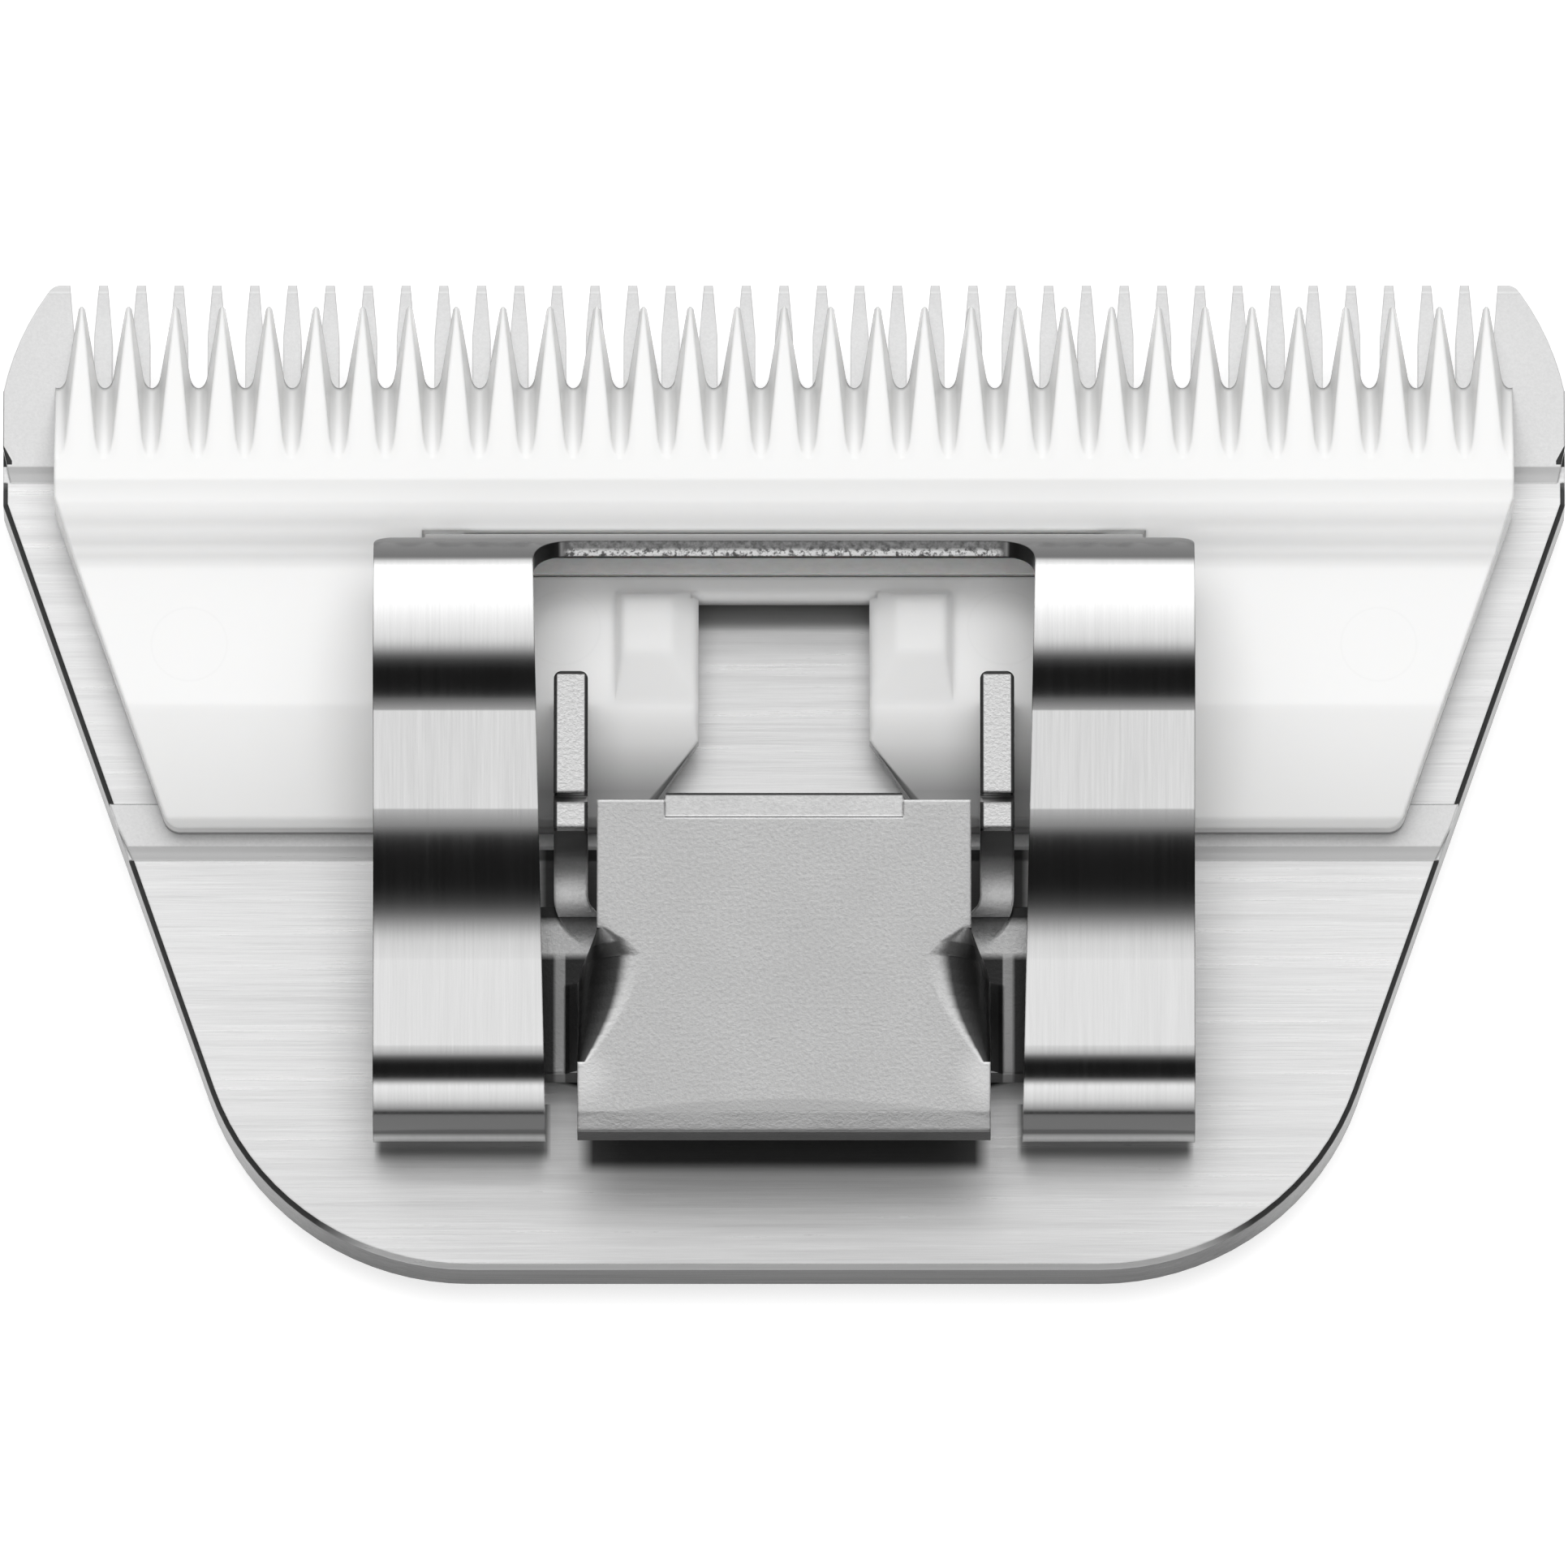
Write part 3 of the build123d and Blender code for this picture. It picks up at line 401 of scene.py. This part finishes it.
def makeSpringSteel(look):
    material, tree, shader, coords = newMaterial("springSteel")
    scratches = useGroup(tree, grindScratches, {
        "Place": stretched(tree, coords, look["grainPerMm"]),
        "Coarse Share": look["coarseShare"], "Contrast": look["contrast"]})
    shear = useGroup(tree, fineGrain, {"Place": stretched(tree, coords, look["shearPerMm"])})
    edges = useGroup(tree, softEdges, {"Radius": look["edgeRadius"] * mm})
    place = axes(tree, coords.outputs["Object"])
    facing = axes(tree, coords.outputs["Normal"])
    aside = maths(tree, "ABSOLUTE", facing["X"])
    upward = maths(tree, "ABSOLUTE", facing["Z"])

    satin = blendColours(tree, scratches["Scratch"], grey(look["dark"]), grey(look["light"]))
    shift = rangeOf(tree, facing["Y"], *look["rearFacing"], 0.0, look["rearShift"])
    steep = product(
        tree, rangeOf(tree, maths(tree, "ADD", upward, shift), *look["bendFacing"], 1.0, 0.0, True),
        rangeOf(tree, upward, *look["bendUpright"]))
    shadedSatin = blendColours(tree, steep, satin, grey(look["bend"]))  # painted shade on the tight bends
    # painted dark outline along the strip's edges, standing in for edge shade
    outline = maths(tree, "MULTIPLY", edges["Edge"], look["lineShare"])
    shadedSatin = blendColours(tree, outline, shadedSatin, grey(look["line"]))

    ahead = maths(tree, "GREATER_THAN", place["Y"], look["archCentre"][0] * mm)
    windowCut = product(
        tree, rangeOf(tree, facing["Y"], *look["cutFacing"]), ahead, rangeOf(tree, facing["Z"], *look["cutUpward"]))
    cut = largest(tree, rangeOf(tree, aside, *look["cutAside"]), windowCut)
    rough = blendColours(tree, shear["Grain"], grey(look["shearDark"]), grey(look["shearLight"]))
    inner = spanOf(tree, distanceTo(tree, place["Y"], place["Z"], look["archCentre"]), look["fleckReach"])
    flecks = product(tree, inner, rangeOf(tree, shear["Grain"], *look["fleckGrain"]), windowCut)
    burnished = blendColours(tree, flecks, rough, grey(look["fleck"]))  # burnished half of the cut
    turned = product(tree, rangeOf(tree, aside, *look["cornerStart"]), rangeOf(tree, aside, *look["cornerEnd"]))
    torn = blendColours(tree, turned, burnished, grey(look["corner"]))

    fine = rangeOf(tree, scratches["Scratch"], 0.0, 1.0, *look["roughness"])
    height = blendValues(tree, cut, scratches["Scratch"], shear["Grain"])
    connect(tree, shader, blendColours(tree, cut, shadedSatin, torn),
            blendValues(tree, cut, fine, look["cutRoughness"]),
            bumped(tree, height, look["bump"], look["bumpDepth"], edges["Normal"]))
    shader.inputs["Metallic"].default_value = 1.0
    return material


# hinge socket: tumbled matt sheet

socketFinish = {
    "light": 0.88, "dark": 0.70, "roughness": (0.30, 0.39), "grainPerMm": (7.0, 7.0, 7.0),
    "speckShare": 0.12, "speckDepth": 0.4, "bump": 0.35, "bumpDepth": 0.012, "edgeRadius": 0.14,
    "corner": (7.9, -13.3), "cornerHighlight": 1.0, "cornerReach": (1.7, 0.3),
    "lipShading": 0.68, "lipBend": 1.0, "lipFacing": (-0.03, -0.08),
    "lipMiddle": -14.26, "lipCurve": 11.6, "lipSoft": (0.06, -0.06),
    "brinkShade": 0.14, "brinkShare": 0.8, "brinkReach": (-15.36, -15.52), "rearCutShade": 0.03, "rearFacing": (-0.5, -0.8),
    "rolled": 0.08, "rolledFacing": (0.925, 0.9995), "rolledUpright": (0.05, 0.25),
    "rolledRear": (-0.1, -0.25), "rolledLeast": 0.1,
    "rollTop": (-6.9, 6.9), "rollMiddle": (-8.6, 5.6), "rollEnd": (-13.2, 7.6),
    "rollSoft": (0.0, 1.6), "rollFoot": 6.0,
    "flangeTop": 4.45, "flangeShade": 0.43, "flangeRear": (-7.5, -7.8),
    "flangeDark": 0.05, "flangeOuter": (8.7, 8.85), "flangeInner": (8.40, 8.34), "flangeFront": (-6.5, -6.1),
    "frontLip": (-2.27, -2.22), "frontLipSide": (4.6, 4.5),
    "earSlopeShade": 0.14, "earSlopeFacing": (-0.55, -0.85), "earSlopeRear": -8.0,
    "earLight": 1.0, "earDark": 0.82, "earRoughness": 0.17, "earInner": 7.3, "earFoot": 7.6, "earRear": -4.5,
    "earRimShade": 0.05, "earRimWidth": 0.24, "earMiddle": 8.15, "earSide": (0.50, 0.54), "earTip": (2.50, 2.54)}


def makeSocketSteel(look):
    material, tree, shader, coords = newMaterial("socketSteel")
    grain = useGroup(tree, fineGrain, {
        "Place": stretched(tree, coords, look["grainPerMm"]), "Speck Share": look["speckShare"]})
    edges = useGroup(tree, softEdges, {"Radius": look["edgeRadius"] * mm})
    earEdges = useGroup(tree, softEdges, {"Radius": look["earRimWidth"] * mm})
    place = axes(tree, coords.outputs["Object"])
    facing = axes(tree, coords.outputs["Normal"])
    across = maths(tree, "ABSOLUTE", place["X"])

    specks = maths(tree, "MULTIPLY", grain["Specks"], look["speckDepth"])
    tone = maths(tree, "SUBTRACT", grain["Grain"], specks, True)
    body = blendColours(tree, tone, grey(look["dark"]), grey(look["light"]))
    away = distanceTo(tree, across, place["Y"], look["corner"])
    wearAndHighlight = spanOf(tree, away, look["cornerReach"], smooth=True)
    body = blendColours(tree, wearAndHighlight, body, grey(look["cornerHighlight"]))  # painted highlight on the rear corners

    bent = rangeOf(tree, facing["Y"], *look["lipFacing"])
    lipShading = blendColours(tree, bent, grey(look["lipShading"]), grey(look["lipBend"]))
    brinkShade = spanOf(tree, place["Y"], look["brinkReach"], 0.0, look["brinkShare"])
    lipShading = blendColours(tree, brinkShade, lipShading, grey(look["brinkShade"]))
    lipShading = blendColours(tree, rangeOf(tree, facing["Y"], *look["rearFacing"]), lipShading, grey(look["rearCutShade"]))
    bow = product(tree, across, across, look["lipCurve"])
    past = maths(tree, "ADD", maths(tree, "SUBTRACT", place["Y"], look["lipMiddle"] * mm), bow)
    body = blendColours(tree, spanOf(tree, past, look["lipSoft"]), body, lipShading)  # painted shade on the bowed rear lip, lighter where it turns back, painted shade at its brink and on the rear cut below

    steep = product(
        tree, rangeOf(tree, facing["Z"], *look["rolledFacing"], 1.0, 0.0, True),
        rangeOf(tree, facing["Y"], *look["rolledRear"], 1.0, look["rolledLeast"]),
        rangeOf(tree, facing["Z"], *look["rolledUpright"]))
    sheet = blendColours(tree, steep, body, grey(look["rolled"]))  # painted shade on the bends
    top, middle, end = look["rollTop"], look["rollMiddle"], look["rollEnd"]
    rollFront = spanOf(tree, place["Y"], (top[0], middle[0]), top[1] * mm, middle[1] * mm)
    rollRear = spanOf(tree, place["Y"], (middle[0], end[0]), middle[1] * mm, end[1] * mm)
    inside = maths(tree, "SUBTRACT", across, largest(tree, rollFront, rollRear))
    hollow = product(
        tree, spanOf(tree, inside, look["rollSoft"], smooth=True),
        maths(tree, "GREATER_THAN", place["Z"], look["rollFoot"] * mm))
    sheet = blendColours(tree, hollow, sheet, grey(look["rolled"]))  # painted shade: the sides darken softly into the rolls

    low = maths(tree, "LESS_THAN", place["Z"], look["flangeTop"] * mm)
    strip = spanOf(tree, place["Y"], look["flangeRear"])
    # painted shade on the flange strip behind the walls
    sheet = blendColours(tree, product(tree, strip, low), sheet, grey(look["flangeShade"]))
    beside = largest(tree, spanOf(tree, across, look["flangeOuter"]), spanOf(tree, across, look["flangeInner"]))
    ahead = spanOf(tree, place["Y"], look["flangeFront"])
    flangeShadow = product(tree, largest(tree, product(tree, beside, strip), ahead), low)
    sheet = blendColours(tree, flangeShadow, sheet, grey(look["flangeDark"]))  # painted shadow on the flange in the gap to the spring and under the ears
    sloped = product(
        tree, rangeOf(tree, facing["Y"], *look["earSlopeFacing"]),
        maths(tree, "GREATER_THAN", place["Y"], look["earSlopeRear"] * mm))
    sheet = blendColours(tree, sloped, sheet, grey(look["earSlopeShade"]))  # painted shade on the hollow rear edge of each ear
    frontLipShadow = product(tree, spanOf(tree, place["Y"], look["frontLip"]), spanOf(tree, across, look["frontLipSide"]))
    sheet = blendColours(tree, frontLipShadow, sheet, grey(look["flangeDark"]))  # painted shadow line along the front edge of the lip

    ear = product(
        tree, maths(tree, "GREATER_THAN", across, look["earInner"] * mm),
        maths(tree, "GREATER_THAN", place["Z"], look["earFoot"] * mm),
        maths(tree, "GREATER_THAN", place["Y"], look["earRear"] * mm))
    cutFaceAndHighlight = blendColours(tree, grain["Grain"], grey(look["earDark"]), grey(look["earLight"]))
    off = maths(tree, "ABSOLUTE", maths(tree, "SUBTRACT", across, look["earMiddle"] * mm))
    rim = largest(
        tree, steep, earEdges["Edge"], spanOf(tree, off, look["earSide"]), spanOf(tree, place["Y"], look["earTip"]))
    earTop = blendColours(tree, rim, cutFaceAndHighlight, grey(look["earRimShade"]))  # cut face, partly its own bright tone and partly painted highlight; painted shade on the rounded rim

    matt = rangeOf(tree, grain["Cloud"], 0.0, 1.0, *look["roughness"])
    connect(tree, shader, blendColours(tree, ear, sheet, earTop),
            blendValues(tree, ear, matt, look["earRoughness"]),
            bumped(tree, grain["Grain"], look["bump"], look["bumpDepth"], edges["Normal"]))
    shader.inputs["Metallic"].default_value = 1.0
    return material


# guide: natural nylon

guideFinish = {
    "light": (0.93, 0.93, 0.92, 1.0), "dark": (0.83, 0.83, 0.82, 1.0), "roughness": (0.42, 0.55),
    "grainPerMm": (2.0, 5.0, 5.0), "bump": 0.15, "bumpDepth": 0.01, "edgeRadius": 0.08,
    "glow": 0.2, "glowDepth": 0.3}


def makeNylon(look):
    material, tree, shader, coords = newMaterial("guideNylon")
    grain = useGroup(tree, fineGrain, {"Place": stretched(tree, coords, look["grainPerMm"])})
    edges = useGroup(tree, softEdges, {"Radius": look["edgeRadius"] * mm})
    connect(tree, shader, blendColours(tree, grain["Grain"], look["dark"], look["light"]),
            rangeOf(tree, grain["Cloud"], 0.0, 1.0, *look["roughness"]),
            bumped(tree, grain["Grain"], look["bump"], look["bumpDepth"], edges["Normal"]))
    shader.inputs["Subsurface Weight"].default_value = look["glow"]
    shader.inputs["Subsurface Scale"].default_value = look["glowDepth"] * mm
    return material


# clamp screws: turned steel

screwFinish = {
    "light": 0.66, "dark": 0.46, "roughness": (0.40, 0.28), "wearAndHighlight": 0.8, "rubbedShare": 0.5,
    "turnPerMm": (3.0, 3.0, 12.0), "coarseShare": 0.3, "contrast": 1.4,
    "bump": 0.15, "bumpDepth": 0.01, "edgeRadius": 0.06}


def makeScrewSteel(look):
    material, tree, shader, coords = newMaterial("screwSteel")
    turned = useGroup(tree, grindScratches, {
        "Place": stretched(tree, coords, look["turnPerMm"]),
        "Coarse Share": look["coarseShare"], "Contrast": look["contrast"]})
    edges = useGroup(tree, softEdges, {"Radius": look["edgeRadius"] * mm})
    body = blendColours(tree, turned["Scratch"], grey(look["dark"]), grey(look["light"]))
    wearAndHighlight = maths(tree, "MULTIPLY", edges["Edge"], look["rubbedShare"], True)
    connect(tree, shader, blendColours(tree, wearAndHighlight, body, grey(look["wearAndHighlight"])),
            rangeOf(tree, turned["Scratch"], 0.0, 1.0, *look["roughness"]),
            bumped(tree, turned["Scratch"], look["bump"], look["bumpDepth"], edges["Normal"]))
    shader.inputs["Metallic"].default_value = 1.0
    return material


finishes = {
    "comb": makeCombSteel(combFinish),
    "ceramic_cutter": makeCeramic(ceramicFinish),
    "tension_spring": makeSpringSteel(springFinish),
    "hinge_socket": makeSocketSteel(socketFinish),
    "cutter_guide": makeNylon(guideFinish),
    "clamp_screws": makeScrewSteel(screwFinish)}
for nodeName, finish in finishes.items():
    for materialSlot in nodes[nodeName].material_slots:
        materialSlot.material = finish
print("finishes placed on", len(finishes), "pieces")


# rolled thread on both clamp screws

threadSizes = {
    "shankRadius": 1.45, "headHeight": 1.25, "pitch": 0.5, "ridge": 0.035, "aboveHead": 0.2, "belowTip": 0.24,
    "turnSteps": 32, "ridgeSides": 4}


def makeThreadTree():
    tree = bpy.data.node_groups.new("screwThread", "GeometryNodeTree")
    for label, kind in (
            ("Shank Radius", "NodeSocketFloat"), ("Ridge", "NodeSocketFloat"), ("Ridge Sides", "NodeSocketInt"),
            ("Turns", "NodeSocketFloat"), ("Turn Steps", "NodeSocketInt"), ("Length", "NodeSocketFloat"),
            ("First Foot", "NodeSocketVector"), ("Spacing", "NodeSocketVector"), ("Steel", "NodeSocketMaterial")):
        tree.interface.new_socket(name=label, in_out="INPUT", socket_type=kind)
    tree.interface.new_socket(name="Thread", in_out="OUTPUT", socket_type="NodeSocketGeometry")
    start = tree.nodes.new("NodeGroupInput").outputs
    spiral = addNode(tree, "GeometryNodeCurveSpiral", None, {
        "Resolution": start["Turn Steps"], "Rotations": start["Turns"], "Start Radius": start["Shank Radius"],
        "End Radius": start["Shank Radius"], "Height": start["Length"]})
    ridge = addNode(tree, "GeometryNodeCurvePrimitiveCircle", {"mode": "RADIUS"}, {
        "Resolution": start["Ridge Sides"], "Radius": start["Ridge"]})
    winding = addNode(tree, "GeometryNodeCurveToMesh", None, {
        "Curve": spiral.outputs[0], "Profile Curve": ridge.outputs[0], "Fill Caps": True})
    feet = addNode(tree, "GeometryNodeMeshLine", {"mode": "OFFSET"}, {
        "Count": 2, "Start Location": start["First Foot"], "Offset": start["Spacing"]})
    pair = addNode(tree, "GeometryNodeInstanceOnPoints", None, {
        "Points": feet.outputs[0], "Instance": winding.outputs[0]})
    solid = addNode(tree, "GeometryNodeRealizeInstances", None, {"Geometry": pair.outputs[0]})
    dressed = addNode(tree, "GeometryNodeSetMaterial", None, {
        "Geometry": solid.outputs[0], "Material": start["Steel"]})
    tree.links.new(dressed.outputs[0], tree.nodes.new("NodeGroupOutput").inputs["Thread"])
    return tree


def makeThread(look, steel):
    low, high = (Vector(corner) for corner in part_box("clamp_screws"))
    screwX = high.x - (high.y - low.y) / 2  # the head is as wide as the pair is long
    foot = low.z + (look["headHeight"] + look["aboveHead"]) * mm
    length = high.z - look["belowTip"] * mm - foot
    tree = makeThreadTree()
    thread = bpy.data.objects.new("screwThread", bpy.data.meshes.new("screwThread"))
    bpy.context.scene.collection.objects.link(thread)
    winder = thread.modifiers.new("thread", "NODES")
    winder.node_group = tree
    sizes = {
        "Shank Radius": look["shankRadius"] * mm, "Ridge": look["ridge"] * mm, "Ridge Sides": look["ridgeSides"],
        "Turns": length / (look["pitch"] * mm), "Turn Steps": look["turnSteps"], "Length": length,
        "First Foot": (-screwX, (low.y + high.y) / 2, foot), "Spacing": (2 * screwX, 0.0, 0.0), "Steel": steel}
    for socket in tree.interface.items_tree:
        if socket.in_out == "INPUT":
            winder[socket.identifier] = sizes[socket.name]
    grown = thread.evaluated_get(bpy.context.evaluated_depsgraph_get())
    plain = bpy.data.meshes.new_from_object(grown)
    thread.modifiers.remove(winder)
    thread.data = plain
    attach(thread, "base")
    print("thread wound:", len(plain.polygons), "faces")


makeThread(threadSizes, finishes["clamp_screws"])


# floor, tent light and fill lamp

studio = {
    "floorSize": 3.0, "floorDrop": 0.02, "floorGrey": 0.72, "floorLift": 0.55,
    "floorRoughness": 0.95, "floorShine": 0.1, "fibreScale": 40.0, "fibreTint": 0.01,
    # brightness of the tent by the angle from straight up, in degrees towards the teeth; it is dark round the lens
    "tentLevels": (
        (-92, 0.03), (-64, 0.80), (-42, 1.05), (-38, 0.90), (-34, 0.38), (-28, 0.02), (-22, 0.008),
        (-6, 0.008), (0, 0.04), (4, 0.12), (7.5, 0.30), (11, 0.54), (15, 0.79), (20, 0.92), (28, 1.0), (38, 1.14),
        (56, 1.45), (88, 1.45), (95, 0.3)),
    "tentPeak": 1.45, "sideReach": (0.45, 0.92), "sideDark": 0.04,
    "fillPlace": (0.0, 0.08, 0.74), "fillSize": 0.6, "fillPower": 3.3}


def makeFloor(look):
    half = look["floorSize"] / 2
    height = -look["floorDrop"] * mm
    mesh = bpy.data.meshes.new("studioFloor")
    mesh.from_pydata([(-half, -half, height), (half, -half, height), (half, half, height), (-half, half, height)],
                     [], [(0, 1, 2, 3)])
    floor = bpy.data.objects.new("studioFloor", mesh)
    bpy.context.scene.collection.objects.link(floor)
    material, tree, shader, coords = newMaterial("floorPaper")
    fibre = addNode(tree, "ShaderNodeTexNoise", None, {
        "Vector": coords.outputs["Object"], "Scale": look["fibreScale"]})
    dark, light = (grey(look["floorGrey"] + tint) for tint in (-look["fibreTint"], look["fibreTint"]))
    tree.links.new(blendColours(tree, fibre.outputs[0], dark, light), shader.inputs["Base Color"])
    shader.inputs["Roughness"].default_value = look["floorRoughness"]
    shader.inputs["Specular IOR Level"].default_value = look["floorShine"]
    rays = addNode(tree, "ShaderNodeLightPath").outputs
    seen = largest(tree, rays["Is Camera Ray"], rays["Is Glossy Ray"], rays["Is Transmission Ray"])
    shader.inputs["Emission Color"].default_value = grey(1.0)
    tree.links.new(maths(tree, "MULTIPLY", seen, look["floorLift"]), shader.inputs["Emission Strength"])
    mesh.materials.append(material)


def makeTent(look):
    world = bpy.data.worlds.new("lightTent")
    bpy.context.scene.world = world
    world.use_nodes = True
    tree = world.node_tree
    tree.nodes.clear()
    towards = axes(tree, tree.nodes.new("ShaderNodeTexCoord").outputs["Generated"])
    lean = maths(tree, "ARCTAN2", towards["Y"], towards["Z"])
    levels = addNode(tree, "ShaderNodeValToRGB", None, {"Fac": rangeOf(tree, lean, -math.pi, math.pi)})
    stops = levels.color_ramp.elements
    while len(stops) < len(look["tentLevels"]):
        stops.new(1.0)
    for stop, (angle, level) in zip(stops, look["tentLevels"]):
        stop.position = (angle + 180) / 360
        stop.color = grey(level / look["tentPeak"])
    aside = maths(tree, "ABSOLUTE", towards["X"])
    walls = rangeOf(tree, aside, *look["sideReach"], 1.0, look["sideDark"], True)
    shade = maths(tree, "MULTIPLY", levels.outputs["Color"], walls)
    colour = addNode(tree, "ShaderNodeCombineColor", None, {0: shade, 1: shade, 2: shade})
    background = addNode(tree, "ShaderNodeBackground", None, {
        "Color": colour.outputs[0], "Strength": look["tentPeak"]})
    output = tree.nodes.new("ShaderNodeOutputWorld")
    tree.links.new(background.outputs[0], output.inputs["Surface"])


def makeFill(look):
    lamp = bpy.data.lights.new("overheadFill", "AREA")
    lamp.shape = "SQUARE"
    lamp.size = look["fillSize"]
    lamp.energy = look["fillPower"]
    fill = bpy.data.objects.new("overheadFill", lamp)
    fill.location = look["fillPlace"]
    fill.rotation_euler = Vector(look["fillPlace"]).to_track_quat("Z", "Y").to_euler()
    fill.visible_glossy = False  # the metal mirrors the tent alone
    bpy.context.scene.collection.objects.link(fill)


makeFloor(studio)
makeTent(studio)
makeFill(studio)
bpy.context.scene.view_settings.view_transform = "Standard"
print("studio ready")


# camera: long lens, 15 degrees off straight above

lens = {
    "elevation": 75.0, "distance": 1.60, "sensor": 36.0, "frameWidth": 60.13 * mm,
    "aim": (0.0, -0.31 * mm, 2.35 * mm)}


def makeCamera(look):
    data = bpy.data.cameras.new("productLens")
    data.sensor_width = look["sensor"]
    data.lens = data.sensor_width * look["distance"] / look["frameWidth"]
    camera = bpy.data.objects.new("productLens", data)
    lift = math.radians(look["elevation"])
    towards = Vector((0.0, -math.cos(lift), math.sin(lift)))
    camera.location = Vector(look["aim"]) + towards * look["distance"]
    camera.rotation_euler = towards.to_track_quat("Z", "Y").to_euler()
    bpy.context.scene.collection.objects.link(camera)
    bpy.context.scene.camera = camera


makeCamera(lens)
print("camera placed")
